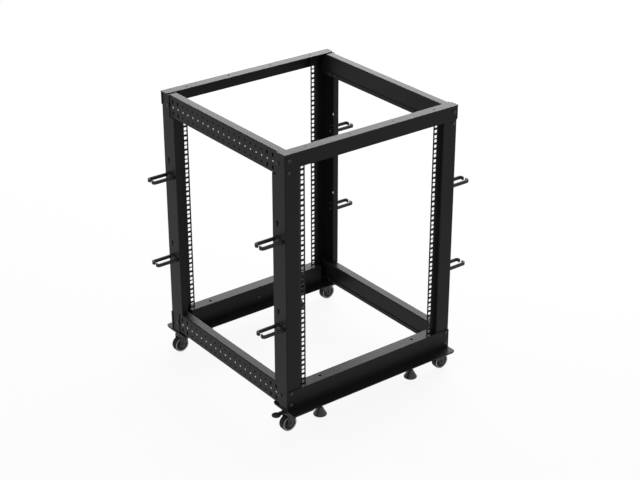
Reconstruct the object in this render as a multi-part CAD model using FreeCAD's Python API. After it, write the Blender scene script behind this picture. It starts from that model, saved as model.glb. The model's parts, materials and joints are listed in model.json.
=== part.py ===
import FreeCAD, Part
import math
import os

from FreeCAD import Vector

# Four post open frame rack, fifteen rack units, on swivel casters. Millimetres, +Z up.
# X runs across the front, Y from front to back. The origin is on the floor, under the middle.

# Driving dimensions
FRAME_WIDTH = 600.0
RAIL_SPAN = 569.0            # front rail face to rear rail face
RACK_UNIT = 44.45
RACK_UNITS = 15
SHEET = 2.0                  # folded steel
BEND = 1.0                   # inside radius of a fold

# Heights above the floor
BASE_TOP = 74.0
BASE_THICK = 3.0
BAY_TOP = 803.0              # top of the uppermost whole rack unit
POST_TOP = 847.0
FRAME_TOP = POST_TOP + SHEET

# Post, a folded hat section: rail flange, step, face, side web, return lip
POST_SIDE_X = FRAME_WIDTH / 2 - SHEET
STEP_X = 250.0
RAIL_EDGE_X = 224.0
POST_STEP = 13.0             # the post's face stands this far outside the rail face
POST_WEB = 60.0
POST_LIP = 19.5
POST_NOTCH = 21.0            # the web is cut back this far where a side beam enters

# Square rail holes
HOLE_COLUMN_X = 465.1 / 2
HOLE_SIDE = 9.5
UNIT_HOLES = (6.35, 22.225, 38.1)    # below the top of each unit

# Keyholes in the side webs: a round entry, and below it a slot, measured from the entry's middle.
# They stand beside the web's middle line, to the back on the left posts, to the front on the right.
KEYHOLE_HEIGHTS = (645.5, 378.8)
KEYHOLE_RADIUS = 5.5
KEYHOLE_SLOT = (6.0, 15.0)
KEYHOLE_SHIFT = 6.5

# Cross beams
TOP_FACE = 43.2
TOP_FLANGE = 31.0
TOP_FLANGE_HOLES = (74.0, 222.0)
BOTTOM_TOP = 135.0
BOTTOM_FLANGE = 39.0
BOTTOM_HALF = 248.0          # from the middle to either end of the flange and inner wall
BOTTOM_GAP = 0.2             # from the flange up to the rail that ends over it
END_FLANGE = 8.0
FLANGE_HOLE_RADIUS = 3.0
CORNER_RADIUS = 8.0
TOP_FACE_CORNER = 9.0        # rounds the face's lower corners, where the end flange stops
BOTTOM_FACE_CORNER = 5.0

# Base plates under the posts
BASE_OUTER = 46.0            # outside the rail face
BASE_INNER = 55.0            # inside the rail face

# Side beams: an outer channel, perforated on a one inch pitch, closed by an inner sleeve
SIDE_X = POST_SIDE_X - SHEET
SIDE_HEIGHT = 66.0
SIDE_FLANGE = 28.0
SIDE_LIP = 13.0
SIDE_END_GAP = 3.0           # from the beam's end to the post's inner face
SIDE_BOTTOM_LOW = 77.0
SLEEVE_SETBACK = 8.0
SLEEVE_GAP = 1.0             # from the sleeve's flanges to the beam's web
PITCH = 25.4
COLUMNS = 20
SLOTTED_COLUMNS = 2          # at each end
MID_HOLE_RADIUS = 3.75
ROW_HOLE_RADIUS = 3.0
ROW_OFFSET = 17.5
END_SLOT = (7.0, 13.0)

# Cable hooks: a flat band bent into an open ring, its base against the side web
HOOK_RING_HEIGHTS = (595.0, 328.3)
HOOK_REACH = 76.0
HOOK_WIDTH = 38.8
HOOK_BAND = (6.0, 10.0)      # thickness and height of the arms
HOOK_BASE = 3.0
HOOK_GAP = 7.0               # between the two finger tips
HOOK_DIP = 8.0               # the finger tips lean this far back into the ring
HOOK_BEND = 9.0
FIXING_RADIUS = 1.75
FIXING_HOLES = ((-12.0, -11.0), (12.0, -11.0), (-12.0, 8.0), (12.0, 8.0), (0.0, 12.4))

# Casters
SWIVEL_X = 261.0
SWIVEL_BACK = 5.0            # behind the rail face
TRAIL = 23.0
WHEEL_RADIUS = 24.0
WHEEL_WIDTH = 20.0
TYRE_THICK = 5.5
TYRE_ROUND = 4.0
HUB_RADIUS = 7.0
HUB_FACE_RECESS = 2.5
AXLE_RADIUS = 3.0
AXLE_CLEARANCE = 0.05
AXLE_HEAD = (5.5, 2.0)
CASTER_PLATE = (76.0, 98.0, 4.0)
RACE_RADIUS = 28.0
RACE_BOTTOM = 58.0
CROWN = (51.5, 57.5)         # underside and top of the fork's crown
CROWN_RADIUS = 24.0
KINGPIN_RADIUS = 5.0
KINGPIN_CLEARANCE = 0.3
FORK_INSIDE = 11.5
FORK_THICK = 2.0
FORK_EYE = 9.0
FORK_LEAD = 8.0              # the leg starts this far ahead of the swivel axis
FORK_SWEEP = 2.0             # the leg's leading edge ends this far ahead of the eye
FORK_KNEE = 4.0
PEDAL_PIVOT = (25.0, 53.2)   # along the trail and above the floor
PEDAL_PIN_RADIUS = 2.0
PEDAL_CHEEK_RADIUS = 4.0
PEDAL_GAP = 0.5
PEDAL_TOP = 64.0
PEDAL_THICK = 3.0
PEDAL_START = 30.0
PEDAL_END = 76.0
PEDAL_PAD_RADIUS = 13.0
PEDAL_WAIST = 16.0

# Levelling feet
FOOT_X = 169.5
FOOT_BACK = 5.5
FOOT_BOTTOM = 7.0
FOOT_RADIUS = 20.0
FOOT_NECK_RADIUS = 7.0
FOOT_RIM = 3.0
FOOT_HEIGHT = 26.0
STEM_RADIUS = 5.0
STEM_TOP = 112.0
STEM_CLEARANCE = 0.05
ACCESS_RADIUS = 4.5

RAIL_Y = RAIL_SPAN / 2
POST_FACE_Y = RAIL_Y + POST_STEP
BEAM_FACE_Y = POST_FACE_Y + SHEET
BAY_BOTTOM = BAY_TOP - RACK_UNITS * RACK_UNIT
SIDE_TOP_LOW = POST_TOP - SIDE_HEIGHT
WEB_MIDDLE_Y = POST_FACE_Y - POST_WEB / 2
EPS = 1.0                    # how far a cutting tool runs past a face
FULL_TURN = 360.0

os.makedirs("parts", exist_ok=True)


def block(low, high):
    size = [top - bottom for bottom, top in zip(low, high)]
    return Part.makeBox(*size, Vector(*low))


def cylinder(radius, start, end):
    run = Vector(*end) - Vector(*start)
    return Part.makeCylinder(radius, run.Length, Vector(*start), run)


def mirror_x(shape):
    return shape.mirror(Vector(0, 0, 0), Vector(1, 0, 0))


def mirror_y(shape):
    return shape.mirror(Vector(0, 0, 0), Vector(0, 1, 0))


def in_corner(shape, side, end):
    """A shape made for the right front corner, moved to any of the four corners."""
    if side == "left":
        shape = mirror_x(shape)
    if end == "rear":
        shape = mirror_y(shape)
    return shape


def rounded_outline(points, radii):
    """Closed face through points in one plane, each corner rounded by its own radius."""
    edges = []
    ends = []
    count = len(points)
    for index, point in enumerate(points):
        before = (points[index - 1] - point).normalize()
        after = (points[(index + 1) % count] - point).normalize()
        radius = radii[index]
        opening = before.getAngle(after)
        reach = radius / math.tan(opening / 2)
        start = point + before * reach
        end = point + after * reach
        if radius:
            bisector = (before + after).normalize()
            middle = point + bisector * (radius / math.sin(opening / 2) - radius)
            edges.append(Part.Arc(start, middle, end).toShape())
        ends.append((start, end))
    for index in range(count):
        start = ends[index][1]
        end = ends[(index + 1) % count][0]
        if start.distanceToPoint(end) > Part.Precision.confusion():
            edges.append(Part.LineSegment(start, end).toShape())
    return Part.Face(Part.Wire(Part.__sortEdges__(edges)))


def folded(skin, normal, thick=SHEET, bend=BEND):
    """Section of a folded sheet: skin is its outer line, the metal lies on the skin's left."""
    normal = Vector(*normal)
    skin = [Vector(*point) for point in skin]
    turns = []
    inner = []
    last = len(skin) - 1
    for index, point in enumerate(skin):
        ahead = (skin[min(index + 1, last)] - skin[min(index, last - 1)]).normalize()
        behind = (skin[max(index, 1)] - skin[max(index - 1, 0)]).normalize()
        left = (normal.cross(behind) + normal.cross(ahead)).normalize()
        half = behind.getAngle(ahead) / 2
        turns.append(normal.dot(behind.cross(ahead)))
        inner.append(point + left * (thick / math.cos(half)))
    tight = bend
    wide = bend + thick
    skin_radii = [wide if turn > 0 else tight for turn in turns]
    inner_radii = [tight if turn > 0 else wide for turn in turns]
    skin_radii[0] = skin_radii[-1] = inner_radii[0] = inner_radii[-1] = 0
    return rounded_outline(skin + inner[::-1], skin_radii + inner_radii[::-1])


def rounded_plate(low, high, radii):
    """Flat plate; radii are for its corners, anticlockwise from the low X, low Y one."""
    corners = [Vector(low[0], low[1], low[2]), Vector(high[0], low[1], low[2]),
               Vector(high[0], high[1], low[2]), Vector(low[0], high[1], low[2])]
    return rounded_outline(corners, radii).extrude(Vector(0, 0, high[2] - low[2]))


def upright_slot(width, length, start, end):
    """Cutting tool for a slot that stands upright and goes through along X."""
    half = (length - width) / 2
    body = block((start[0], start[1] - width / 2, start[2] - half),
                 (end[0], start[1] + width / 2, start[2] + half))
    ends = [cylinder(width / 2, (start[0], start[1], start[2] + shift), (end[0], start[1], start[2] + shift))
            for shift in (-half, half)]
    return body.multiFuse(ends)


def save(shape, name):
    shape.removeSplitter().exportStep("parts/" + name + ".step")


# Post at the right front corner ------------------------------------------------------------------

def rail_hole_heights():
    heights = [BAY_TOP - unit * RACK_UNIT - drop for unit in range(RACK_UNITS) for drop in UNIT_HOLES]
    heights.append(BAY_TOP + UNIT_HOLES[0])
    return heights


def post(keyhole_y):
    skin = [(RAIL_EDGE_X, -RAIL_Y, BASE_TOP), (STEP_X, -RAIL_Y, BASE_TOP),
            (STEP_X, -POST_FACE_Y, BASE_TOP), (POST_SIDE_X, -POST_FACE_Y, BASE_TOP),
            (POST_SIDE_X, -POST_FACE_Y + POST_WEB, BASE_TOP),
            (POST_SIDE_X - POST_LIP, -POST_FACE_Y + POST_WEB, BASE_TOP)]
    shape = folded(skin, (0, 0, 1)).extrude(Vector(0, 0, POST_TOP - BASE_TOP))
    tools = []
    half = HOLE_SIDE / 2
    for height in rail_hole_heights():
        tools.append(block((HOLE_COLUMN_X - half, -RAIL_Y - EPS, height - half),
                           (HOLE_COLUMN_X + half, -RAIL_Y + SHEET + EPS, height + half)))
    tools.append(block((RAIL_EDGE_X - EPS, -RAIL_Y - EPS, BASE_TOP - EPS),
                       (STEP_X - BEND, -RAIL_Y + SHEET + EPS, BOTTOM_TOP + BOTTOM_GAP)))
    notch_y = -POST_FACE_Y + POST_WEB - POST_NOTCH
    for low, high in ((BASE_TOP - EPS, SIDE_BOTTOM_LOW + SIDE_HEIGHT), (SIDE_TOP_LOW, POST_TOP + EPS)):
        tools.append(block((POST_SIDE_X - POST_LIP - EPS, notch_y, low),
                           (POST_SIDE_X + EPS, notch_y + POST_NOTCH + EPS, high)))
    inside = POST_SIDE_X - SHEET - EPS
    outside = POST_SIDE_X + EPS
    for height in KEYHOLE_HEIGHTS:
        end = (outside, keyhole_y, height)
        tools.append(cylinder(KEYHOLE_RADIUS, (inside, keyhole_y, height), end))
        slot_middle = (inside, keyhole_y, height - KEYHOLE_SLOT[1] / 2)
        tools.append(upright_slot(*KEYHOLE_SLOT, slot_middle, end))
    for height in HOOK_RING_HEIGHTS:
        for across, up in FIXING_HOLES:
            y = -WEB_MIDDLE_Y + across
            tools.append(cylinder(FIXING_RADIUS, (inside, y, height + up), (outside, y, height + up)))
    return shape.cut(tools)


# Cross beams at the front ------------------------------------------------------------------------

def wrap(low, high, depth):
    """Folded cover over the front of both posts, with a short flange down each side."""
    half = FRAME_WIDTH / 2
    back = -BEAM_FACE_Y + depth
    skin = [(-half, back, low), (-half, -BEAM_FACE_Y, low), (half, -BEAM_FACE_Y, low), (half, back, low)]
    return folded(skin, (0, 0, 1)).extrude(Vector(0, 0, high - low))


def corner_cuts(edge, middle, radius):
    """Tools that round both end corners of a cover at one edge, as seen from the front."""
    half = FRAME_WIDTH / 2
    front = -BEAM_FACE_Y - EPS
    back = -BEAM_FACE_Y + END_FLANGE + EPS
    past = edge + math.copysign(EPS, edge - middle)
    inner = edge - math.copysign(radius, edge - middle)
    tools = []
    for side in (-1, 1):
        xs = sorted((side * (half - radius), side * (half + EPS)))
        zs = sorted((past, inner))
        round_x = side * (half - radius)
        keep = cylinder(radius, (round_x, front, inner), (round_x, back, inner))
        tools.append(block((xs[0], front, zs[0]), (xs[1], back, zs[1])).cut(keep))
        xs = sorted((side * (half - SHEET - EPS), side * (half + EPS)))
        tools.append(block((xs[0], -BEAM_FACE_Y + SHEET, zs[0]), (xs[1], back, zs[1])))
    return tools


def flange_holes(xs, y, top, radius):
    return [cylinder(radius, (x, y, top - SHEET - EPS), (x, y, top + EPS)) for x in xs]


def top_beam():
    half = FRAME_WIDTH / 2
    low = FRAME_TOP - TOP_FACE
    cover = wrap(low, POST_TOP, END_FLANGE)
    flange = rounded_plate((-half, -BEAM_FACE_Y, POST_TOP), (half, -BEAM_FACE_Y + TOP_FLANGE, FRAME_TOP),
                           (0, 0, CORNER_RADIUS, CORNER_RADIUS))
    tools = corner_cuts(low, POST_TOP, TOP_FACE_CORNER)
    xs = [side * x for x in TOP_FLANGE_HOLES for side in (-1, 1)]
    tools += flange_holes(xs, -RAIL_Y, FRAME_TOP, FLANGE_HOLE_RADIUS)
    return cover.fuse(flange).cut(tools)


def bottom_beam():
    cover = wrap(BASE_TOP, BOTTOM_TOP, END_FLANGE)
    back = -BEAM_FACE_Y + BOTTOM_FLANGE
    skin = [(-BOTTOM_HALF, -BEAM_FACE_Y, BOTTOM_TOP), (-BOTTOM_HALF, back, BOTTOM_TOP),
            (-BOTTOM_HALF, back, BASE_TOP)]
    inside = folded(skin, (-1, 0, 0)).extrude(Vector(2 * BOTTOM_HALF, 0, 0))
    tools = corner_cuts(BOTTOM_TOP, BASE_TOP, BOTTOM_FACE_CORNER)
    tools += flange_holes((-FOOT_X, FOOT_X), -RAIL_Y + FOOT_BACK, BOTTOM_TOP, ACCESS_RADIUS)
    return cover.fuse(inside).cut(tools)


def base_plate():
    half = FRAME_WIDTH / 2
    plate = rounded_plate((-half, -RAIL_Y - BASE_OUTER, BASE_TOP - BASE_THICK),
                          (half, -RAIL_Y + BASE_INNER, BASE_TOP), [CORNER_RADIUS] * 4)
    stems = [cylinder(STEM_RADIUS + STEM_CLEARANCE, (x, -RAIL_Y + FOOT_BACK, BASE_TOP - BASE_THICK - EPS),
                      (x, -RAIL_Y + FOOT_BACK, BASE_TOP + EPS)) for x in (-FOOT_X, FOOT_X)]
    return plate.cut(stems)


# Side beams on the right -------------------------------------------------------------------------

def column_places():
    return [(column - (COLUMNS - 1) / 2) * PITCH for column in range(COLUMNS)]


def side_beam(low):
    """Lipped channel that opens inwards, towards the middle of the rack."""
    half_length = POST_FACE_Y - SHEET - SIDE_END_GAP
    inner_x = SIDE_X - SIDE_FLANGE
    high = low + SIDE_HEIGHT
    skin = [(inner_x, -half_length, low + SIDE_LIP), (inner_x, -half_length, low),
            (SIDE_X, -half_length, low), (SIDE_X, -half_length, high),
            (inner_x, -half_length, high), (inner_x, -half_length, high - SIDE_LIP)]
    shape = folded(skin, (0, -1, 0)).extrude(Vector(0, 2 * half_length, 0))
    middle = low + SIDE_HEIGHT / 2
    inside = SIDE_X - SHEET - EPS
    outside = SIDE_X + EPS
    places = column_places()
    tools = [cylinder(MID_HOLE_RADIUS, (inside, y, middle), (outside, y, middle)) for y in places]
    for shift in (-ROW_OFFSET, ROW_OFFSET):
        height = middle + shift
        for y in places[SLOTTED_COLUMNS:-SLOTTED_COLUMNS]:
            tools.append(cylinder(ROW_HOLE_RADIUS, (inside, y, height), (outside, y, height)))
        for y in places[:SLOTTED_COLUMNS] + places[-SLOTTED_COLUMNS:]:
            tools.append(upright_slot(*END_SLOT, (inside, y, height), (outside, y, height)))
    return shape.cut(tools)


def side_sleeve(low):
    """Plain channel inside the side beam, its web behind the beam's lips."""
    half_length = POST_FACE_Y - SLEEVE_SETBACK
    web_x = SIDE_X - SIDE_FLANGE + SHEET
    edge_x = SIDE_X - SHEET - SLEEVE_GAP
    top = low + SIDE_HEIGHT - SHEET
    skin = [(edge_x, -half_length, top), (web_x, -half_length, top),
            (web_x, -half_length, low + SHEET), (edge_x, -half_length, low + SHEET)]
    return folded(skin, (0, -1, 0)).extrude(Vector(0, 2 * half_length, 0))


# Cable hooks on the right front post -------------------------------------------------------------

def hook(ring_height):
    thick, tall = HOOK_BAND
    low = ring_height - tall / 2
    half = HOOK_WIDTH / 2
    base = block((POST_SIDE_X, -WEB_MIDDLE_Y - half, low),
                 (POST_SIDE_X + HOOK_BASE, -WEB_MIDDLE_Y + half, ring_height + tall / 2))
    tip = POST_SIDE_X + HOOK_REACH
    arm_skin = [(POST_SIDE_X + HOOK_BASE / 2, -half, low), (tip, -half, low),
                (tip - HOOK_DIP, -HOOK_GAP / 2, low)]
    arm = folded(arm_skin, (0, 0, 1), thick, HOOK_BEND - thick).extrude(Vector(0, 0, tall))
    arms = [piece.translated(Vector(0, -WEB_MIDDLE_Y, 0)) for piece in (arm, mirror_y(arm))]
    return base.multiFuse(arms)


# Caster at the right front corner: local X runs along the trail, from the swivel axis ------------

def at_swivel(shape):
    return shape.translated(Vector(SWIVEL_X, -RAIL_Y + SWIVEL_BACK, 0))


def caster_plate():
    length, width, thick = CASTER_PLATE
    top = BASE_TOP - BASE_THICK
    plate = rounded_plate((-length / 2, -width / 2, top - thick), (length / 2, width / 2, top),
                          [CORNER_RADIUS] * 4)
    race = cylinder(RACE_RADIUS, (0, 0, RACE_BOTTOM), (0, 0, top - thick))
    kingpin = cylinder(KINGPIN_RADIUS, (0, 0, CROWN[0]), (0, 0, RACE_BOTTOM))
    return at_swivel(plate.multiFuse([race, kingpin]))


def fork_leg():
    """Outline of one leg, from the crown down and back to the axle's eye."""
    outer = FORK_INSIDE + FORK_THICK
    points = [(-FORK_LEAD, CROWN[1]), (TRAIL - FORK_EYE - FORK_SWEEP, WHEEL_RADIUS),
              (TRAIL - FORK_EYE, WHEEL_RADIUS - FORK_EYE), (TRAIL + FORK_EYE, WHEEL_RADIUS - FORK_EYE),
              (TRAIL + FORK_EYE, CROWN[1])]
    radii = [0, FORK_KNEE, FORK_EYE - BEND, FORK_EYE - BEND, 0]
    face = rounded_outline([Vector(x, -outer, z) for x, z in points], radii)
    return face.extrude(Vector(0, FORK_THICK, 0))


def caster_fork(braked):
    outer = FORK_INSIDE + FORK_THICK
    crown = cylinder(CROWN_RADIUS, (0, 0, CROWN[0]), (0, 0, CROWN[1]))
    hood = block((-FORK_LEAD, -outer, CROWN[0]), (TRAIL + FORK_EYE, outer, CROWN[1]))
    leg = fork_leg()
    axle = cylinder(AXLE_RADIUS, (TRAIL, -outer, WHEEL_RADIUS), (TRAIL, outer, WHEEL_RADIUS))
    heads = [cylinder(AXLE_HEAD[0], (TRAIL, side * outer, WHEEL_RADIUS),
                      (TRAIL, side * (outer + AXLE_HEAD[1]), WHEEL_RADIUS)) for side in (-1, 1)]
    shape = crown.multiFuse([hood, leg, mirror_y(leg), axle] + heads)
    if braked:
        reach = outer + PEDAL_GAP + FORK_THICK
        x, z = PEDAL_PIVOT
        shape = shape.fuse(cylinder(PEDAL_PIN_RADIUS, (x, -reach, z), (x, reach, z)))
    bore = cylinder(KINGPIN_RADIUS + KINGPIN_CLEARANCE, (0, 0, CROWN[0] - EPS), (0, 0, CROWN[1] + EPS))
    return at_swivel(shape.cut(bore))


def caster_tyre():
    half = WHEEL_WIDTH / 2
    outer = cylinder(WHEEL_RADIUS, (TRAIL, -half, WHEEL_RADIUS), (TRAIL, half, WHEEL_RADIUS))
    rims = [edge for edge in outer.Edges if edge.Closed]
    outer = outer.makeFillet(TYRE_ROUND, rims)
    bore = WHEEL_RADIUS - TYRE_THICK
    inner = cylinder(bore, (TRAIL, -half - EPS, WHEEL_RADIUS), (TRAIL, half + EPS, WHEEL_RADIUS))
    return at_swivel(outer.cut(inner))


def caster_wheel():
    half = WHEEL_WIDTH / 2
    disc = cylinder(WHEEL_RADIUS - TYRE_THICK, (TRAIL, -half, WHEEL_RADIUS), (TRAIL, half, WHEEL_RADIUS))
    rim_inside = WHEEL_RADIUS - TYRE_THICK - SHEET
    tools = [cylinder(AXLE_RADIUS + AXLE_CLEARANCE, (TRAIL, -half - EPS, WHEEL_RADIUS),
                      (TRAIL, half + EPS, WHEEL_RADIUS))]
    for side in (-1, 1):
        start = (TRAIL, side * (half - HUB_FACE_RECESS), WHEEL_RADIUS)
        end = (TRAIL, side * (half + EPS), WHEEL_RADIUS)
        tools.append(cylinder(rim_inside, start, end).cut(cylinder(HUB_RADIUS, start, end)))
    return at_swivel(disc.cut(tools))


def brake_pedal():
    x, z = PEDAL_PIVOT
    inside = FORK_INSIDE + FORK_THICK + PEDAL_GAP
    outside = inside + FORK_THICK
    low = PEDAL_TOP - PEDAL_THICK
    bar = block((PEDAL_START, -outside, low), (PEDAL_START + PEDAL_THICK, outside, PEDAL_TOP))
    neck = block((PEDAL_START, -PEDAL_WAIST / 2, low),
                 (PEDAL_END - PEDAL_PAD_RADIUS, PEDAL_WAIST / 2, PEDAL_TOP))
    pad_x = PEDAL_END - PEDAL_PAD_RADIUS
    pad = cylinder(PEDAL_PAD_RADIUS, (pad_x, 0, low), (pad_x, 0, PEDAL_TOP))
    pieces = [neck, pad]
    for side in (-1, 1):
        near = side * inside
        eye = cylinder(PEDAL_CHEEK_RADIUS, (x, near, z), (x, side * outside, z))
        arm = [Vector(x, near, z - PEDAL_CHEEK_RADIUS), Vector(PEDAL_START + PEDAL_THICK, near, z),
               Vector(PEDAL_START + PEDAL_THICK, near, PEDAL_TOP), Vector(PEDAL_START, near, PEDAL_TOP),
               Vector(PEDAL_START, near, z + PEDAL_CHEEK_RADIUS), Vector(x, near, z + PEDAL_CHEEK_RADIUS)]
        cheek = Part.Face(Part.makePolygon(arm + arm[:1])).extrude(Vector(0, side * FORK_THICK, 0))
        pieces += [eye, cheek]
    bore = cylinder(PEDAL_PIN_RADIUS + AXLE_CLEARANCE, (x, -outside - EPS, z), (x, outside + EPS, z))
    return at_swivel(bar.multiFuse(pieces).cut(bore))


# Levelling foot at the right front ---------------------------------------------------------------

def levelling_foot():
    y = -RAIL_Y + FOOT_BACK
    rim_top = FOOT_BOTTOM + FOOT_RIM
    neck_top = FOOT_BOTTOM + FOOT_HEIGHT
    profile = [Vector(0, 0, FOOT_BOTTOM), Vector(FOOT_RADIUS, 0, FOOT_BOTTOM),
               Vector(FOOT_RADIUS, 0, rim_top), Vector(FOOT_NECK_RADIUS, 0, neck_top),
               Vector(STEM_RADIUS, 0, neck_top), Vector(STEM_RADIUS, 0, STEM_TOP), Vector(0, 0, STEM_TOP)]
    face = Part.Face(Part.makePolygon(profile + profile[:1]))
    turned = face.revolve(Vector(0, 0, 0), Vector(0, 0, 1), FULL_TURN)
    return turned.translated(Vector(FOOT_X, y, 0))


# Write every piece -------------------------------------------------------------------------------

save(top_beam(), "top_beam_front")
save(mirror_y(top_beam()), "top_beam_rear")
save(bottom_beam(), "bottom_beam_front")
save(mirror_y(bottom_beam()), "bottom_beam_rear")
save(base_plate(), "base_plate_front")
save(mirror_y(base_plate()), "base_plate_rear")

for level, low in (("top", SIDE_TOP_LOW), ("bottom", SIDE_BOTTOM_LOW)):
    save(side_beam(low), level + "_side_beam_right")
    save(mirror_x(side_beam(low)), level + "_side_beam_left")
    save(side_sleeve(low), level + "_side_sleeve_right")
    save(mirror_x(side_sleeve(low)), level + "_side_sleeve_left")

BRAKED = (("left", "front"), ("right", "rear"))
KEYHOLE_INWARD = (("left", "front"), ("right", "rear"))
for side in ("left", "right"):
    for end in ("front", "rear"):
        corner = "_" + end + "_" + side
        braked = (side, end) in BRAKED
        shift = KEYHOLE_SHIFT if (side, end) in KEYHOLE_INWARD else -KEYHOLE_SHIFT
        save(in_corner(post(-WEB_MIDDLE_Y + shift), side, end), "post" + corner)
        hooks = Part.makeCompound([hook(height) for height in HOOK_RING_HEIGHTS])
        save(in_corner(hooks, side, end), "cable_hooks" + corner)
        save(in_corner(caster_plate(), side, end), "caster_plate" + corner)
        save(in_corner(caster_fork(braked), side, end), "caster_fork" + corner)
        save(in_corner(caster_wheel(), side, end), "caster_wheel" + corner)
        save(in_corner(caster_tyre(), side, end), "caster_tyre" + corner)
        save(in_corner(levelling_foot(), side, end), "levelling_foot" + corner)
        if braked:
            save(in_corner(brake_pedal(), side, end), "brake_pedal" + corner)
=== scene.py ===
import json
import math

import bmesh
import bpy
from mathutils import Matrix, Vector


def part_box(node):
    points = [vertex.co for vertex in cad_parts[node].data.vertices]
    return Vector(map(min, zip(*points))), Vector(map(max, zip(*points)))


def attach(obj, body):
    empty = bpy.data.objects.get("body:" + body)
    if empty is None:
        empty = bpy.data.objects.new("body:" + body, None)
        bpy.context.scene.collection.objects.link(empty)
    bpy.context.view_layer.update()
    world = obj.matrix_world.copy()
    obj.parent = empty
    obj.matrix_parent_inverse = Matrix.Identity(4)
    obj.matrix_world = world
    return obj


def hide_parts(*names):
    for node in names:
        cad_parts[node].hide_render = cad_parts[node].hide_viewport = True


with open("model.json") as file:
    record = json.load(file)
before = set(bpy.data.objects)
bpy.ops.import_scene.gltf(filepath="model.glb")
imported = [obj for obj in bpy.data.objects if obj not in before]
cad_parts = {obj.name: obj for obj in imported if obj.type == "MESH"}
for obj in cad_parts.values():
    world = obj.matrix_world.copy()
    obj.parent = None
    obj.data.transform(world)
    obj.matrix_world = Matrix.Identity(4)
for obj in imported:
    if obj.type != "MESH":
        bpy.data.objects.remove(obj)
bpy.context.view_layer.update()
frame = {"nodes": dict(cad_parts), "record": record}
nodes = frame["nodes"]
mm = 0.001
ends = (("front", -1), ("rear", 1))
sides = (("left", -1), ("right", 1))
corners = [(end, side, endSign, sideSign) for end, endSign in ends for side, sideSign in sides]
print("frame loaded:", len(nodes), "nodes")


def addNode(tree, kind, inputs=None, **settings):
    made = tree.nodes.new(kind)
    for key, value in settings.items():
        setattr(made, key, value)
    for key, value in (inputs or {}).items():
        if isinstance(value, bpy.types.NodeSocket):
            tree.links.new(value, made.inputs[key])
        else:
            made.inputs[key].default_value = value
    return made


def newObject(name, data):
    made = bpy.data.objects.new(name, data)
    bpy.context.scene.collection.objects.link(made)
    return made


def smoothByAngle(mesh, degrees=32):
    mesh.polygons.foreach_set("use_smooth", [True] * len(mesh.polygons))
    mesh.set_sharp_from_angle(angle=math.radians(degrees))


def finishPiece(piece, body, slot, material, *replaced):
    piece.data.materials.clear()
    piece.data.materials.append(material)
    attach(piece, body)
    if replaced:
        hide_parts(*replaced)
    return piece


# what all finishes share: soft mottling, a fine grain, and a painted highlight, a lighter colour where an
# edge turns
surfaceWork = {"cloudDetail": 4.0, "grainDetail": 3.0, "grainRoughness": 0.6, "edgeSamples": 6,
               "edgeTurn": (0.995, 0.8), "grainSpan": (0.3, 0.7)}


def surface(name, look):
    material = bpy.data.materials.new(name)
    material.use_nodes = True
    tree = material.node_tree
    shader = tree.nodes["Principled BSDF"]
    shader.inputs["Metallic"].default_value = look.get("metal", 0.0)
    shader.inputs["Specular IOR Level"].default_value = look["specular"]
    where = addNode(tree, "ShaderNodeTexCoord").outputs["Object"]
    stretched = addNode(tree, "ShaderNodeMapping", {"Vector": where, "Scale": look.get("stretch", (1, 1, 1))})
    cloudy = addNode(tree, "ShaderNodeTexNoise", {"Vector": where, "Scale": look["cloudScale"],
                                                  "Detail": surfaceWork["cloudDetail"]})
    grain = addNode(tree, "ShaderNodeTexNoise", {"Vector": stretched.outputs[0], "Scale": look["grainScale"],
                                                 "Detail": surfaceWork["grainDetail"],
                                                 "Roughness": surfaceWork["grainRoughness"]})
    # rounded edges, and how far a point is from being flat
    rounded = addNode(tree, "ShaderNodeBevel", {"Radius": look["edgeRadius"]},
                      samples=surfaceWork["edgeSamples"])
    flat = addNode(tree, "ShaderNodeNewGeometry").outputs["True Normal"]
    turn = addNode(tree, "ShaderNodeVectorMath", {0: rounded.outputs[0], 1: flat}, operation="DOT_PRODUCT")
    turnFrom, turnTo = surfaceWork["edgeTurn"]
    # painted highlight: close to a turned edge the base colour is mixed towards a lighter edge colour,
    # standing in for the light a rounded edge catches
    edge = addNode(tree, "ShaderNodeMapRange",
                   {"Value": turn.outputs["Value"], "From Min": turnFrom, "From Max": turnTo,
                    "To Min": 0.0, "To Max": look["edgeHighlight"]})
    paintedHighlight = addNode(tree, "ShaderNodeMath", {0: edge.outputs[0], 1: cloudy.outputs[0]}, operation="MULTIPLY")
    base = addNode(tree, "ShaderNodeMix", {"Factor": cloudy.outputs[0], "A": (*look["colour"], 1),
                                           "B": (*look["lighter"], 1)}, data_type="RGBA")
    highlightedColour = addNode(tree, "ShaderNodeMix", {"Factor": paintedHighlight.outputs[0], "A": base.outputs["Result"],
                                             "B": (*look["edgeHighlightColour"], 1)}, data_type="RGBA")
    grainLow, grainHigh = surfaceWork["grainSpan"]
    smoothest, roughest = look["roughness"]
    rough = addNode(tree, "ShaderNodeMapRange",
                    {"Value": grain.outputs[0], "From Min": grainLow, "From Max": grainHigh,
                     "To Min": smoothest, "To Max": roughest})
    relief = addNode(tree, "ShaderNodeBump", {"Height": grain.outputs[0], "Strength": look["bump"],
                                              "Distance": look["bumpDepth"], "Normal": rounded.outputs[0]})
    tree.links.new(highlightedColour.outputs["Result"], shader.inputs["Base Color"])
    tree.links.new(rough.outputs[0], shader.inputs["Roughness"])
    tree.links.new(relief.outputs[0], shader.inputs["Normal"])
    return material
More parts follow.
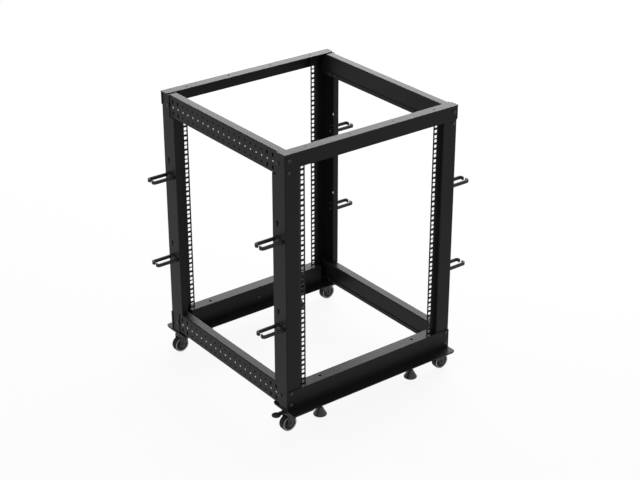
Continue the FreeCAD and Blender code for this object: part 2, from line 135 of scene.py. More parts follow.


# edgeRadius and bumpDepth are in metres
# in every finish below, the edge colour and its share are a painted highlight along the turned edges
powderCoat = {"colour": (0.0075, 0.0077, 0.0081), "lighter": (0.0115, 0.0117, 0.0122), "specular": 0.12,
              "roughness": (0.38, 0.47), "cloudScale": 9.0, "grainScale": 620.0, "bump": 0.3,
              "bumpDepth": 0.00014, "edgeRadius": 0.0005, "edgeHighlight": 0.5,
              "edgeHighlightColour": (0.03, 0.03, 0.031)}
hookPlastic = {"colour": (0.0085, 0.0085, 0.009), "lighter": (0.012, 0.012, 0.0125), "specular": 0.3,
               "roughness": (0.5, 0.62), "cloudScale": 30.0, "grainScale": 1100.0, "bump": 0.4,
               "bumpDepth": 0.0001, "edgeRadius": 0.0007, "edgeHighlight": 0.3,
               "edgeHighlightColour": (0.02, 0.02, 0.021)}
casterSteel = {"colour": (0.010, 0.0102, 0.0108), "lighter": (0.015, 0.0153, 0.016), "specular": 0.35,
               "roughness": (0.34, 0.46), "cloudScale": 26.0, "grainScale": 800.0, "bump": 0.3,
               "bumpDepth": 0.0001, "edgeRadius": 0.0008, "edgeHighlight": 0.6,
               "edgeHighlightColour": (0.05, 0.05, 0.052)}
wheelPlastic = {"colour": (0.36, 0.36, 0.365), "lighter": (0.44, 0.44, 0.445), "specular": 0.4,
                "roughness": (0.4, 0.5), "cloudScale": 60.0, "grainScale": 900.0, "bump": 0.2,
                "bumpDepth": 0.00008, "edgeRadius": 0.0006, "edgeHighlight": 0.2,
                "edgeHighlightColour": (0.5, 0.5, 0.51)}
tyreRubber = {"colour": (0.009, 0.009, 0.0095), "lighter": (0.015, 0.015, 0.0155), "specular": 0.15,
              "roughness": (0.5, 0.68), "cloudScale": 70.0, "grainScale": 1200.0, "bump": 0.5,
              "bumpDepth": 0.00012, "edgeRadius": 0.0006, "edgeHighlight": 0.25,
              "edgeHighlightColour": (0.025, 0.025, 0.025)}
footRubber = {"colour": (0.011, 0.011, 0.0115), "lighter": (0.016, 0.016, 0.0165), "specular": 0.5,
              "roughness": (0.26, 0.36), "cloudScale": 45.0, "grainScale": 500.0, "bump": 0.15,
              "bumpDepth": 0.0001, "edgeRadius": 0.0008, "edgeHighlight": 0.2,
              "edgeHighlightColour": (0.02, 0.02, 0.02)}
blackScrew = {"colour": (0.012, 0.012, 0.0125), "lighter": (0.02, 0.02, 0.021), "specular": 0.5,
              "roughness": (0.25, 0.36), "cloudScale": 90.0, "grainScale": 1500.0, "bump": 0.2,
              "bumpDepth": 0.00005, "edgeRadius": 0.0003, "edgeHighlight": 0.5,
              "edgeHighlightColour": (0.08, 0.08, 0.082)}
zincSteel = {"colour": (0.72, 0.72, 0.73), "lighter": (0.84, 0.84, 0.84), "specular": 0.5, "metal": 1.0,
             "roughness": (0.3, 0.45), "cloudScale": 120.0, "grainScale": 700.0, "stretch": (1, 1, 6),
             "bump": 0.2, "bumpDepth": 0.00005, "edgeRadius": 0.0003, "edgeHighlight": 0.5,
             "edgeHighlightColour": (0.85, 0.85, 0.85)}
finishes = {"frame_paint": surface("powder coat", powderCoat),
            "hook_plastic": surface("hook plastic", hookPlastic),
            "caster_steel": surface("caster steel", casterSteel),
            "wheel_plastic": surface("wheel ring plastic", wheelPlastic),
            "tyre_rubber": surface("tyre rubber", tyreRubber),
            "foot_rubber": surface("foot rubber", footRubber)}
screwFinish = surface("black screws", blackScrew)
zincFinish = surface("zinc plated steel", zincSteel)
for part in frame["record"]["subparts"]:
    nodes[part["node"]].data.materials.clear()
    nodes[part["node"]].data.materials.append(finishes[part["material_slot"]])
print("finishes made:", len(finishes) + 2)


def newTree(name, sockets):
    tree = bpy.data.node_groups.new(name, "GeometryNodeTree")
    tree.interface.new_socket(name="Geometry", in_out="INPUT", socket_type="NodeSocketGeometry")
    for label, kind in sockets:
        tree.interface.new_socket(name=label, in_out="INPUT", socket_type="NodeSocket" + kind)
    tree.interface.new_socket(name="Geometry", in_out="OUTPUT", socket_type="NodeSocketGeometry")
    return tree, addNode(tree, "NodeGroupInput").outputs


def closeTree(tree, geometry, material):
    real = addNode(tree, "GeometryNodeRealizeInstances", {"Geometry": geometry})
    coloured = addNode(tree, "GeometryNodeSetMaterial", {"Geometry": real.outputs[0], "Material": material})
    addNode(tree, "NodeGroupOutput", {"Geometry": coloured.outputs[0]})


def growMesh(tree, name, places, values):
    # places are (position, facing) pairs; the tree's result comes back as a plain mesh object
    seed = bpy.data.meshes.new(name + " places")
    seed.from_pydata([tuple(spot) for spot, facing in places], [], [])
    seed.attributes.new("facing", "FLOAT_VECTOR", "POINT").data.foreach_set(
        "vector", [number for spot, facing in places for number in facing])
    grower = newObject(name + " grower", seed)
    modifier = grower.modifiers.new(name, "NODES")
    modifier.node_group = tree
    for socket in tree.interface.items_tree:
        if socket.in_out == "INPUT" and socket.name in values:
            modifier[socket.identifier] = values[socket.name]
    graph = bpy.context.evaluated_depsgraph_get()
    mesh = bpy.data.meshes.new_from_object(grower.evaluated_get(graph))
    bpy.data.objects.remove(grower)
    bpy.data.meshes.remove(seed)
    mesh.name = name
    smoothByAngle(mesh)
    return newObject(name, mesh)


def fastenerTree():
    tree, given = newTree("fasteners", [("Head", "Object"), ("Radius", "Float"), ("Height", "Float"),
                                        ("Seed", "Int"), ("Finish", "Material")])
    facing = addNode(tree, "GeometryNodeInputNamedAttribute", {"Name": "facing"}, data_type="FLOAT_VECTOR")
    upright = addNode(tree, "FunctionNodeAlignRotationToVector", {"Vector": facing.outputs[0]}, axis="Z")
    # every head is turned about its own axis by a random angle
    turn = addNode(tree, "FunctionNodeRandomValue", {"Max": math.tau, "Seed": given["Seed"]},
                   data_type="FLOAT")
    about = addNode(tree, "FunctionNodeAxisAngleToRotation",
                    {"Axis": (0, 0, 1), "Angle": turn.outputs["Value"]})
    turned = addNode(tree, "FunctionNodeRotateRotation",
                     {"Rotation": upright.outputs[0], "Rotate By": about.outputs[0]}, rotation_space="LOCAL")
    size = addNode(tree, "ShaderNodeCombineXYZ",
                   {"X": given["Radius"], "Y": given["Radius"], "Z": given["Height"]})
    head = addNode(tree, "GeometryNodeObjectInfo", {"Object": given["Head"]})
    many = addNode(tree, "GeometryNodeInstanceOnPoints",
                   {"Points": given["Geometry"], "Instance": head.outputs["Geometry"],
                    "Rotation": turned.outputs[0], "Scale": size.outputs[0]})
    closeTree(tree, many.outputs[0], given["Finish"])
    return tree


def ringStack(name, rings, closedEnds=True):
    # a solid through rings of equal point counts
    # closedEnds caps it, and otherwise its last ring joins its first
    count = len(rings[0])
    points = [point for ring in rings for point in ring]
    faces = []
    last = len(rings) - 1 if closedEnds else len(rings)
    for level in range(last):
        low, high = level * count, (level + 1) % len(rings) * count
        faces += [(low + k, low + (k + 1) % count, high + (k + 1) % count, high + k) for k in range(count)]
    if closedEnds:
        faces += [tuple(range(count))[::-1], tuple(range(last * count, last * count + count))]
    mesh = bpy.data.meshes.new(name)
    mesh.from_pydata(points, [], faces)
    work = bmesh.new()
    work.from_mesh(mesh)
    bmesh.ops.remove_doubles(work, verts=work.verts, dist=1e-7)
    bmesh.ops.recalc_face_normals(work, faces=work.faces)
    work.to_mesh(mesh)
    work.free()
    return mesh


def circle(radius, height, count=24):
    return [(radius * math.cos(k * math.tau / count), radius * math.sin(k * math.tau / count), height)
            for k in range(count)]


def hexagon(radius, height, count=24):
    # radius is to the flats
    ring = []
    for k in range(count):
        angle = k * math.tau / count
        reach = radius / math.cos((angle + math.pi / 6) % (math.pi / 3) - math.pi / 6)
        ring.append((reach * math.cos(angle), reach * math.sin(angle), height))
    return ring


# heads are one unit in radius and one unit high, and the tree gives them their size
buttonHead = {"sides": 20, "dome": 5, "skirt": 0.2, "rim": 0.1, "recess": 0.38, "depth": 0.6, "lip": 0.02}
hexNut = {"sides": 24, "bore": 0.52, "chamfer": 0.12, "boreEdge": 0.06}
insertRing = {"sides": 18, "bore": 0.58, "edge": 0.1}
stud = {"sides": 18, "dome": 5, "skirt": 0.2, "tip": 0.02}


def buttonHeadMesh():
    count, recess, skirt, rim = (buttonHead[key] for key in ("sides", "recess", "skirt", "rim"))
    rings = [circle(1.0, 0.0, count), circle(1.0, skirt, count)]
    for k in range(1, buttonHead["dome"] + 1):
        angle = k / buttonHead["dome"] * math.pi / 2
        reach = recess + rim + (1 - rim - recess) * math.cos(angle)
        rings.append(circle(reach, skirt + (1 - skirt) * math.sin(angle), count))
    rings += [hexagon(recess, 1 - buttonHead["lip"], count), hexagon(recess, 1 - buttonHead["depth"], count)]
    return ringStack("button head", rings)


def hexNutMesh():
    count, trim, bore, edge = (hexNut[key] for key in ("sides", "chamfer", "bore", "boreEdge"))
    flat = math.cos(math.pi / 6)
    rings = [hexagon(flat, trim, count), hexagon(flat, 1 - trim, count), circle(flat, 1.0, count),
             circle(bore + edge, 1.0, count), circle(bore, 1 - edge, count), circle(bore, edge, count),
             circle(bore + edge, 0.0, count), circle(flat, 0.0, count)]
    return ringStack("hex nut", rings, closedEnds=False)


def insertMesh():
    # a plain sleeve, for the collar of a threaded insert and for its thread
    count, bore, edge = insertRing["sides"], insertRing["bore"], insertRing["edge"]
    rings = [circle(1.0, 0.0, count), circle(1.0, 1 - edge, count), circle(1 - edge, 1.0, count),
             circle(bore + edge, 1.0, count), circle(bore, 1 - edge, count), circle(bore, 0.0, count)]
    return ringStack("insert", rings, closedEnds=False)


def studMesh():
    count, skirt = stud["sides"], stud["skirt"]
    rings = [circle(1.0, 0.0, count), circle(1.0, skirt, count)]
    for k in range(1, stud["dome"]):
        angle = k / stud["dome"] * math.pi / 2
        rings.append(circle(math.cos(angle), skirt + (1 - skirt) * math.sin(angle), count))
    return ringStack("stud", rings + [circle(stud["tip"], 1.0, count)])


headMeshes = {"button": buttonHeadMesh(), "nut": hexNutMesh(), "insert": insertMesh(), "stud": studMesh()}
heads = {kind: newObject(kind + " maker", mesh) for kind, mesh in headMeshes.items()}
fasteners = fastenerTree()


def fastenersAt(name, places, head, size, finish, slot, seed):
    # size is the head's radius and height in millimetres
    radius, height = size
    piece = growMesh(fasteners, name, places, {"Head": heads[head], "Radius": radius * mm,
                                               "Height": height * mm, "Seed": seed, "Finish": finish})
    return finishPiece(piece, "frame", slot, finish)


def hookMiddle(end, side):
    low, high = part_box("cable_hooks_%s_%s" % (end, side))
    return (low.y + high.y) / 2


# places are in millimetres, from the floor or from the middle of the rack
screws = {"faceX": 285.5, "faceHeights": (830.5, 126.7, 90.5), "postHeight": 796.0, "webBack": 264.8,
          "webHeights": (815.5, 110.0), "headSize": (5.4, 3.6), "nutSize": (5.77, 4.6),
          "ringHeights": (595.0, 328.3), "ringScrewSize": (4.3, 2.2), "rearWallHeight": 100.0}
studs = {"size": (3.4, 3.0), "topHeight": 789.8, "topPlaces": (246.0, 220.0), "bottomHeight": 82.5,
         "bottomPlaces": (274.0, 246.0, 219.5)}
inserts = {"collarSize": (3.7, 6.0), "collarSunk": 1.0, "threadSize": (2.75, 6.0), "threadSunk": 0.6,
           "pitch": 25.4, "count": 20}
sheet, hookBase = 2 * mm, 3 * mm
postLow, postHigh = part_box("post_front_right")
postFace, webFace = -postLow.y, postHigh.x
beamFace = -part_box("top_beam_front")[0].y
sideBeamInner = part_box("top_side_beam_right")[0].x
faceScrews, faceNuts, hookScrews, lipStuds, collars, threads = [], [], [], [], [], []
for end, side, endSign, sideSign in corners:
    out = Vector((0, endSign, 0))
    across = Vector((sideSign, 0, 0))
    x = sideSign * screws["faceX"] * mm
    for height in (*screws["faceHeights"], screws["postHeight"]):
        face = postFace if height == screws["postHeight"] else beamFace
        faceScrews.append(((x, endSign * face, height * mm), out))
        faceNuts.append(((x, endSign * (postFace - sheet), height * mm), -out))
    for height in screws["webHeights"]:
        faceScrews.append(((sideSign * webFace, endSign * screws["webBack"] * mm, height * mm), across))
    ringY = hookMiddle(end, side)
    for height in screws["ringHeights"]:
        hookScrews.append(((sideSign * (webFace + hookBase), ringY, height * mm), across))
        faceNuts.append(((sideSign * (webFace - sheet), ringY, height * mm), -across))
    rows = [(y, studs["topHeight"]) for y in studs["topPlaces"]]
    rows += [(y, studs["bottomHeight"]) for y in studs["bottomPlaces"]]
    lipStuds += [((sideSign * sideBeamInner, endSign * y * mm, height * mm), -across) for y, height in rows]
for level in ("top", "bottom"):
    for side, sideSign in sides:
        low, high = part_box("%s_side_beam_%s" % (level, side))
        face = high.x if sideSign > 0 else low.x
        for k in range(inserts["count"]):
            y = (k - (inserts["count"] - 1) / 2) * inserts["pitch"] * mm
            for places, kind in ((collars, "collar"), (threads, "thread")):
                back = (inserts[kind + "Size"][1] + inserts[kind + "Sunk"]) * mm
                places.append(((face - sideSign * back, y, (low.z + high.z) / 2), (sideSign, 0, 0)))
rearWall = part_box("bottom_beam_rear")[0].y
faceScrews.append(((0, rearWall, screws["rearWallHeight"] * mm), (0, -1, 0)))
fastenersAt("frame_screws", faceScrews, "button", screws["headSize"], screwFinish, "frame_paint", seed=3)
fastenersAt("hook_screws", hookScrews, "button", screws["ringScrewSize"], screwFinish, "frame_paint", seed=5)
fastenersAt("frame_nuts", faceNuts, "nut", screws["nutSize"], screwFinish, "frame_paint", seed=7)
fastenersAt("lip_studs", lipStuds, "stud", studs["size"], screwFinish, "frame_paint", seed=9)
fastenersAt("insert_collars", collars, "insert", inserts["collarSize"], screwFinish, "frame_paint", seed=15)
fastenersAt("insert_threads", threads, "insert", inserts["threadSize"], zincFinish, "frame_paint", seed=17)
print("screws, nuts, studs and inserts placed:",
      sum(len(places) for places in (faceScrews, hookScrews, faceNuts, lipStuds, collars)))


# millimetres; reach is away from the post and spread from the ring's middle, both to the band's centreline
cableHook = {"Arm reach": 71.1, "Arm spread": 16.4, "Finger reach": 65.3, "Finger spread": 4.85,
             "Half width": 19.4, "Thickness": 6.0, "Height": 10.0, "Base thickness": 3.0, "Bend": 6.0,
             "Edge": 1.1}
hookSteps = {"edge": 2, "bend": 5}  # points round each rounded corner


def hookTree():
    tree, given = newTree("cable hooks", [(label, "Float") for label in cableHook] + [("Finish", "Material")])

    def combine(operation, a, b):
        return addNode(tree, "ShaderNodeMath", {0: a, 1: b}, operation=operation).outputs[0]

    def place(x, y):
        return addNode(tree, "ShaderNodeCombineXYZ", {"X": x, "Y": y}).outputs[0]

    def roundedBand(width, height):
        # cross section with its edges rounded
        outline = addNode(tree, "GeometryNodeCurvePrimitiveQuadrilateral", {"Width": width, "Height": height})
        eased = addNode(tree, "GeometryNodeFilletCurve",
                        {"Curve": outline.outputs[0], "Count": hookSteps["edge"], "Radius": given["Edge"]},
                        mode="POLY")
        return eased.outputs[0]

    def path(points, bend):
        index = addNode(tree, "GeometryNodeInputIndex")
        chosen = addNode(tree, "GeometryNodeIndexSwitch", {"Index": index.outputs[0]}, data_type="VECTOR")
        while len(chosen.index_switch_items) < len(points):
            chosen.index_switch_items.new()
        for k, point in enumerate(points):
            tree.links.new(point, chosen.inputs[k + 1])
        line = addNode(tree, "GeometryNodeMeshLine", {"Count": len(points)})
        moved = addNode(tree, "GeometryNodeSetPosition",
                        {"Geometry": line.outputs[0], "Position": chosen.outputs[0]})
        curve = addNode(tree, "GeometryNodeMeshToCurve", {"Mesh": moved.outputs[0]})
        bent = addNode(tree, "GeometryNodeFilletCurve",
                       {"Curve": curve.outputs[0], "Count": hookSteps["bend"], "Radius": bend}, mode="POLY")
        return addNode(tree, "GeometryNodeSetCurveNormal", {"Curve": bent.outputs[0]}, mode="Z_UP").outputs[0]

    def sweep(curve, band):
        swept = addNode(tree, "GeometryNodeCurveToMesh",
                        {"Curve": curve, "Profile Curve": band, "Fill Caps": True})
        return swept.outputs[0]

    halfBase = combine("MULTIPLY", given["Base thickness"], 0.5)
    armPoints = [place(halfBase, given["Arm spread"]), place(given["Arm reach"], given["Arm spread"]),
                 place(given["Finger reach"], given["Finger spread"])]
    arm = sweep(path(armPoints, given["Bend"]), roundedBand(given["Thickness"], given["Height"]))
    mirrored = addNode(tree, "GeometryNodeTransform", {"Geometry": arm, "Scale": (1, -1, 1)})
    flipped = addNode(tree, "GeometryNodeFlipFaces", {"Mesh": mirrored.outputs[0]})
    lessWide = combine("MULTIPLY", given["Half width"], -1.0)
    base = sweep(path([place(halfBase, lessWide), place(halfBase, given["Half width"])], 0.0),
                 roundedBand(given["Base thickness"], given["Height"]))
    whole = addNode(tree, "GeometryNodeJoinGeometry")
    for made in (arm, flipped.outputs[0], base):
        tree.links.new(made, whole.inputs[0])
    facing = addNode(tree, "GeometryNodeInputNamedAttribute", {"Name": "facing"}, data_type="FLOAT_VECTOR")
    aimed = addNode(tree, "FunctionNodeAlignRotationToVector", {"Vector": facing.outputs[0]},
                    axis="X", pivot_axis="Z")
    many = addNode(tree, "GeometryNodeInstanceOnPoints",
                   {"Points": given["Geometry"], "Instance": whole.outputs[0], "Rotation": aimed.outputs[0]})
    closeTree(tree, many.outputs[0], given["Finish"])
    return tree


hooks = hookTree()
hookPlaces = []
for end, side, endSign, sideSign in corners:
    for height in screws["ringHeights"]:
        hookPlaces.append(((sideSign * webFace, hookMiddle(end, side), height * mm), (sideSign, 0, 0)))
hookSizes = {label: size * mm for label, size in cableHook.items()}
hookPiece = growMesh(hooks, "cable_hook_rings", hookPlaces, {**hookSizes, "Finish": finishes["hook_plastic"]})
finishPiece(hookPiece, "frame", "hook_plastic", finishes["hook_plastic"],
            *["cable_hooks_%s_%s" % (end, side) for end, side, endSign, sideSign in corners])
print("cable hooks made:", len(hookPlaces))


# millimetres; the grooves are places across the tread
caster = {"wheelRadius": 24.0, "halfWidth": 10.0, "tyreInner": 18.6, "tyreSeat": 2.0, "lipDepth": 1.2,
          "shoulder": 3.6, "ringInner": 19.0, "ringOuter": 22.4, "grooves": (-4.0, 4.0),
          "grooveDepth": 0.7, "grooveTop": 0.6, "grooveFloor": 0.35, "discRadius": 18.5,
          "hubRadius": 7.0, "axleRim": 4.0, "axleBore": 3.05, "segments": 56, "boltAcross": 30.0,
          "boltAlong": 40.0, "boltSize": (5.0, 2.2), "plateThick": 4.0, "forkEdge": 0.5,
          "pedalEdge": 0.7}
rib = {"count": 6, "size": (8.0, 1.6, 1.9), "reach": 12.2, "offset": 7.0, "turn": 0.26, "edge": 0.35}
# mergeWithin is in metres
rolledEdge = {"mergeWithin": 2e-6, "flatDegrees": 1.5, "sharpDegrees": 34, "smoothDegrees": 40, "segments": 2}


def ontoAxle(mesh, centre):
    # the lathe works about Z, and a wheel's axle lies along Y
    mesh.transform(Matrix.Translation(centre) @ Matrix.Rotation(math.radians(-90), 4, "X"))
    smoothByAngle(mesh)
    return mesh


def lathe(name, profile, count, closedEnds):
    rings = [circle(radius * mm, height * mm, count) for radius, height in profile]
    return ringStack(name, rings, closedEnds)


def tyreProfile():
    outer, half, seat = caster["wheelRadius"], caster["halfWidth"], caster["tyreSeat"]
    inner, ring, lip = caster["tyreInner"], caster["ringOuter"], half - caster["lipDepth"]
    # one face, from the rim under the ring and round the lip to the tread
    side = [(inner + 0.2, lip), (ring + 0.1, lip), (ring + 0.2, half - 0.1), (ring + 0.6, half - 0.25),
            (outer - 0.35, half - 2.0), (outer, half - caster["shoulder"])]
    profile = [(inner, -half + seat), (inner, half - seat)] + side
    top, low, depth = caster["grooveTop"], caster["grooveFloor"], outer - caster["grooveDepth"]
    for groove in caster["grooves"][::-1]:
        profile += [(outer, groove + top), (depth, groove + low),
                    (depth, groove - low), (outer, groove - top)]
    return profile + [(radius, -height) for radius, height in side[::-1]]


def discProfile():
    half, outer, hub = caster["halfWidth"], caster["discRadius"], caster["hubRadius"]
    # one face, from the rim's flange down the dish, up the hub and in to the axle
    face = [(outer, half - 1.4), (outer - 1.6, half - 1.2), (outer - 2.2, half - 1.6),
            (outer - 2.6, half - 3.2), (hub + 2.2, half - 3.6), (hub + 1.2, half - 2.6), (hub, half - 1.6),
            (caster["axleRim"], half - 1.5), (caster["axleBore"], half - 1.6)]
    return face + [(radius, -height) for radius, height in face[::-1]]


def ringProfile(sign):
    half, low, high = caster["halfWidth"], caster["ringInner"], caster["ringOuter"]
    # a flat ring let into the tyre's face, with eased corners
    rows = [(low, half - 1.15), (low, half - 0.45), (low + 0.4, half - 0.12),
            (high - 0.4, half - 0.12), (high, half - 0.4), (high, half - 1.15)]
    return [(radius, sign * height) for radius, height in rows]


def ribs(centre):
    # short webs between hub and rim on both faces of the wheel's disc
    work = bmesh.new()
    for k in range(rib["count"]):
        spin = Matrix.Rotation(k * math.tau / rib["count"] + rib["turn"], 3, "Z")
        for face in (-1, 1):
            web = bmesh.ops.create_cube(work, size=1.0)["verts"]
            bmesh.ops.scale(work, verts=web, vec=[size * mm for size in rib["size"]])
            bmesh.ops.translate(work, verts=web, vec=(rib["reach"] * mm, 0, face * rib["offset"] * mm))
            bmesh.ops.rotate(work, verts=web, cent=(0, 0, 0), matrix=spin)
    bmesh.ops.bevel(work, geom=list(work.edges), offset=rib["edge"] * mm, segments=1, affect="EDGES")
    mesh = bpy.data.meshes.new("ribs")
    work.to_mesh(mesh)
    work.free()
    return ontoAxle(mesh, centre)


def joined(name, meshes):
    work = bmesh.new()
    for mesh in meshes:
        work.from_mesh(mesh)
        bpy.data.meshes.remove(mesh)
    made = bpy.data.meshes.new(name)
    work.to_mesh(made)
    work.free()
    smoothByAngle(made)
    return made


def softened(nodeName, name, width):
    # a merged copy of a pressed part, with its edges rolled
    work = bmesh.new()
    work.from_mesh(nodes[nodeName].data)
    bmesh.ops.remove_doubles(work, verts=work.verts, dist=rolledEdge["mergeWithin"])
    bmesh.ops.dissolve_limit(work, angle_limit=math.radians(rolledEdge["flatDegrees"]),
                             verts=work.verts, edges=work.edges)
    mesh = bpy.data.meshes.new(name)
    work.to_mesh(mesh)
    work.free()
    piece = newObject(name, mesh)
    roll = piece.modifiers.new("rolled edges", "BEVEL")
    roll.width = width
    roll.segments = rolledEdge["segments"]
    roll.limit_method = "ANGLE"
    roll.angle_limit = math.radians(rolledEdge["sharpDegrees"])
    roll.use_clamp_overlap = True
    graph = bpy.context.evaluated_depsgraph_get()
    rolled = bpy.data.meshes.new_from_object(piece.evaluated_get(graph))
    bpy.data.objects.remove(piece)
    rolled.name = name
    smoothByAngle(rolled, rolledEdge["smoothDegrees"])
    return newObject(name, rolled)


casterBolts = []
for end, side, endSign, sideSign in corners:
    corner = "_%s_%s" % (end, side)
    wheelLow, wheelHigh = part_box("caster_tyre" + corner)
    centre = (wheelLow + wheelHigh) / 2
    plateLow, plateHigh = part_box("caster_plate" + corner)
    plateMiddle = (plateLow + plateHigh) / 2
    tyreMesh = ontoAxle(lathe("tyre", tyreProfile(), caster["segments"], False), centre)
    tyre = newObject("tyre" + corner, tyreMesh)
    finishPiece(tyre, "wheel" + corner, "tyre_rubber", finishes["tyre_rubber"], "caster_tyre" + corner)
    disc = ontoAxle(lathe("disc", discProfile(), caster["segments"], False), centre)
    wheel = newObject("wheel_disc" + corner, joined("wheel disc", [disc, ribs(centre)]))
    finishPiece(wheel, "wheel" + corner, "hook_plastic", finishes["hook_plastic"], "caster_wheel" + corner)
    ringMeshes = [ontoAxle(lathe("ring", ringProfile(face), caster["segments"], False), centre)
                  for face in (-1, 1)]
    wheelRings = newObject("wheel_rings" + corner, joined("wheel ring", ringMeshes))
    finishPiece(wheelRings, "wheel" + corner, "wheel_plastic", finishes["wheel_plastic"])
    fork = softened("caster_fork" + corner, "fork" + corner, caster["forkEdge"] * mm)
    finishPiece(fork, "swivel" + corner, "caster_steel", finishes["caster_steel"], "caster_fork" + corner)
    if "brake_pedal" + corner in nodes:
        pedal = softened("brake_pedal" + corner, "pedal" + corner, caster["pedalEdge"] * mm)
        finishPiece(pedal, "pedal" + corner, "caster_steel", finishes["caster_steel"], "brake_pedal" + corner)
    for across in (-1, 1):
        for along in (-1, 1):
            x = plateMiddle.x + across * caster["boltAcross"] * mm
            y = plateMiddle.y + along * caster["boltAlong"] * mm
            casterBolts.append(((x, y, plateHigh.z - caster["plateThick"] * mm), (0, 0, -1)))
print("casters made")


# millimetres; heights are from the floor
foot = {"bottom": 7.0, "top": 112.0, "radius": 20.0, "neck": 7.0, "height": 26.0, "stem": 5.0,
        "root": 4.35, "pitch": 1.5, "stepsPerTurn": 4, "sides": 40, "threadSides": 20,
        "nutSize": (9.8, 6.5), "recess": 0.6, "edgeHeight": 5.0, "edgeInset": 1.5, "bow": 0.28,
        "bowSteps": 7, "sunk": 0.5, "tip": 0.4, "coneSmooth": 40, "stemSmooth": 60}


def coneProfile():
    bottom, radius, neck = foot["bottom"], foot["radius"], foot["neck"]
    high = bottom + foot["height"]
    # hollow under the cone, a rounded rim, then a flank that bows in slightly
    profile = [(0.0, bottom + foot["recess"]), (radius - 3.0, bottom + foot["recess"]),
               (radius - 2.2, bottom), (radius - 0.5, bottom), (radius, bottom + 0.5), (radius, bottom + 2.6),
               (radius - 0.4, bottom + 3.5), (radius - foot["edgeInset"], bottom + foot["edgeHeight"])]
    for k in range(1, foot["bowSteps"]):
        share = k / foot["bowSteps"]
        reach = radius - foot["edgeInset"] + (neck + foot["edgeInset"] - radius) * share
        profile.append((reach - foot["bow"] * math.sin(share * math.pi),
                        bottom + foot["edgeHeight"] + (foot["height"] - foot["edgeHeight"]) * share))
    return profile + [(neck, high - 0.6), (neck - 0.7, high), (foot["stem"] - 0.2, high), (0.0, high)]


def threadRings():
    # a vee thread drawn round by round, ending in a plain tip
    count, foothold = foot["threadSides"], foot["bottom"] + foot["height"]
    start = foothold - foot["sunk"]
    steps = int((foot["top"] - foothold) / foot["pitch"] * foot["stepsPerTurn"])
    rings = []
    for level in range(steps + 1):
        height = start + level * (foot["top"] - start) / steps
        ring = []
        for k in range(count):
            phase = (height / foot["pitch"] - k / count) % 1.0
            reach = foot["root"] + (foot["stem"] - foot["root"]) * abs(phase * 2 - 1)
            if level == steps:
                reach = foot["root"] - foot["tip"]
            angle = k * math.tau / count
            ring.append((reach * mm * math.cos(angle), reach * mm * math.sin(angle), height * mm))
        rings.append(ring)
    return rings


def footMeshes(centre):
    cone = lathe("cone", coneProfile(), foot["sides"], True)
    stem = ringStack("stem", threadRings())
    for mesh in (cone, stem):
        mesh.transform(Matrix.Translation((centre.x, centre.y, 0)))
    smoothByAngle(cone, foot["coneSmooth"])
    smoothByAngle(stem, foot["stemSmooth"])
    return cone, stem


footNuts = []
for end, side, endSign, sideSign in corners:
    corner = "_%s_%s" % (end, side)
    footLow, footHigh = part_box("levelling_foot" + corner)
    middle = (footLow + footHigh) / 2
    coneMesh, stemMesh = footMeshes(middle)
    cone = newObject("foot_cone" + corner, coneMesh)
    finishPiece(cone, "foot" + corner, "foot_rubber", finishes["foot_rubber"], "levelling_foot" + corner)
    stem = newObject("foot_stem" + corner, stemMesh)
    finishPiece(stem, "foot" + corner, "caster_steel", finishes["caster_steel"])
    footNuts.append(((middle.x, middle.y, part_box("base_plate_" + end)[0].z), (0, 0, -1)))
fastenersAt("foot_nuts", footNuts, "nut", foot["nutSize"], finishes["caster_steel"], "caster_steel", seed=11)
fastenersAt("caster_bolts", casterBolts, "button", caster["boltSize"], screwFinish, "caster_steel", seed=13)
for maker in heads.values():
    bpy.data.objects.remove(maker)
print("feet made")


studio = {"floorSize": 30.0, "floorColour": (0.95, 0.95, 0.95), "shadowShare": 0.1, "worldDiffuse": 0.5,
          "cameraAt": (-2.4375, -3.2484, 2.3931), "aim": (-0.03495, -0.10263, 0.453), "lens": 86.46,
          "sensor": 36.0, "clip": (0.05, 60.0)}


def unseenShare(tree):
    # one for rays from the camera, a gloss or a clear thing, nought for the soft light on the object
    rays = addNode(tree, "ShaderNodeLightPath")
    either = addNode(tree, "ShaderNodeMath",
                     {0: rays.outputs["Is Camera Ray"], 1: rays.outputs["Is Glossy Ray"]},
                     operation="MAXIMUM")
    return addNode(tree, "ShaderNodeMath", {0: either.outputs[0], 1: rays.outputs["Is Transmission Ray"]},
                   operation="MAXIMUM").outputs[0]


floorMesh = bpy.data.meshes.new("floor")
reach = studio["floorSize"] / 2
floorCorners = [(-reach, -reach, 0), (reach, -reach, 0), (reach, reach, 0), (-reach, reach, 0)]
floorMesh.from_pydata(floorCorners, [], [(0, 1, 2, 3)])
floor = newObject("floor", floorMesh)
floorPaint = bpy.data.materials.new("studio floor")
floorPaint.use_nodes = True
tree = floorPaint.node_tree
tree.nodes.remove(tree.nodes["Principled BSDF"])
matt = addNode(tree, "ShaderNodeBsdfDiffuse", {"Color": (*studio["floorColour"], 1)})
white = addNode(tree, "ShaderNodeEmission", {"Color": (1, 1, 1, 1), "Strength": 1.0})
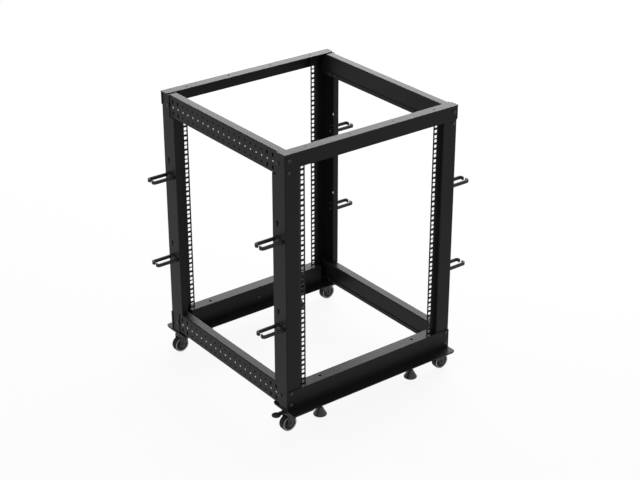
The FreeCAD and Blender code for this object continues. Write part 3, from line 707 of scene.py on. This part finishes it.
# the white keeps most of the floor, and shadowShare of it still takes the rack's shadow
share = addNode(tree, "ShaderNodeMath", {0: unseenShare(tree), 1: 1 - studio["shadowShare"]},
                operation="MULTIPLY")
both = addNode(tree, "ShaderNodeMixShader", {0: share.outputs[0], 1: matt.outputs[0], 2: white.outputs[0]})
tree.links.new(both.outputs[0], tree.nodes["Material Output"].inputs["Surface"])
floorMesh.materials.append(floorPaint)

world = bpy.data.worlds.new("studio")
bpy.context.scene.world = world
world.use_nodes = True
tree = world.node_tree
seen = unseenShare(tree)
strength = addNode(tree, "ShaderNodeMapRange",
                   {"Value": seen, "To Min": studio["worldDiffuse"], "To Max": 1.0})
background = tree.nodes["Background"]
background.inputs["Color"].default_value = (1, 1, 1, 1)
tree.links.new(strength.outputs[0], background.inputs["Strength"])

target = Vector(studio["aim"])
# way is the direction from the rack; sizes and distances are in metres
lamps = {
    "back softbox": {"way": (0.6, 0.7, 0.36), "distance": 4.2, "wide": 2.8, "tall": 1.8, "watts": 105.0},
    "left softbox": {"way": (-0.86, -0.2, 0.5), "distance": 3.6, "wide": 1.8, "tall": 1.8, "watts": 12.0},
    "right strip": {"way": (0.95, 0.25, 0.2), "distance": 3.2, "wide": 0.8, "tall": 2.0, "watts": 45.0}}
for name, lamp in lamps.items():
    light = bpy.data.lights.new(name, "AREA")
    light.shape = "RECTANGLE"
    light.size = lamp["wide"]
    light.size_y = lamp["tall"]
    light.energy = lamp["watts"]
    made = newObject(name, light)
    made.location = target + Vector(lamp["way"]).normalized() * lamp["distance"]
    made.rotation_euler = (target - made.location).to_track_quat("-Z", "Y").to_euler()

view = bpy.data.cameras.new("camera")
view.lens = studio["lens"]
view.sensor_width = studio["sensor"]
view.clip_start, view.clip_end = studio["clip"]
camera = newObject("camera", view)
camera.location = studio["cameraAt"]
camera.rotation_euler = (target - camera.location).to_track_quat("-Z", "Y").to_euler()
bpy.context.scene.camera = camera
bpy.context.scene.view_settings.view_transform = "Standard"
print("studio set")
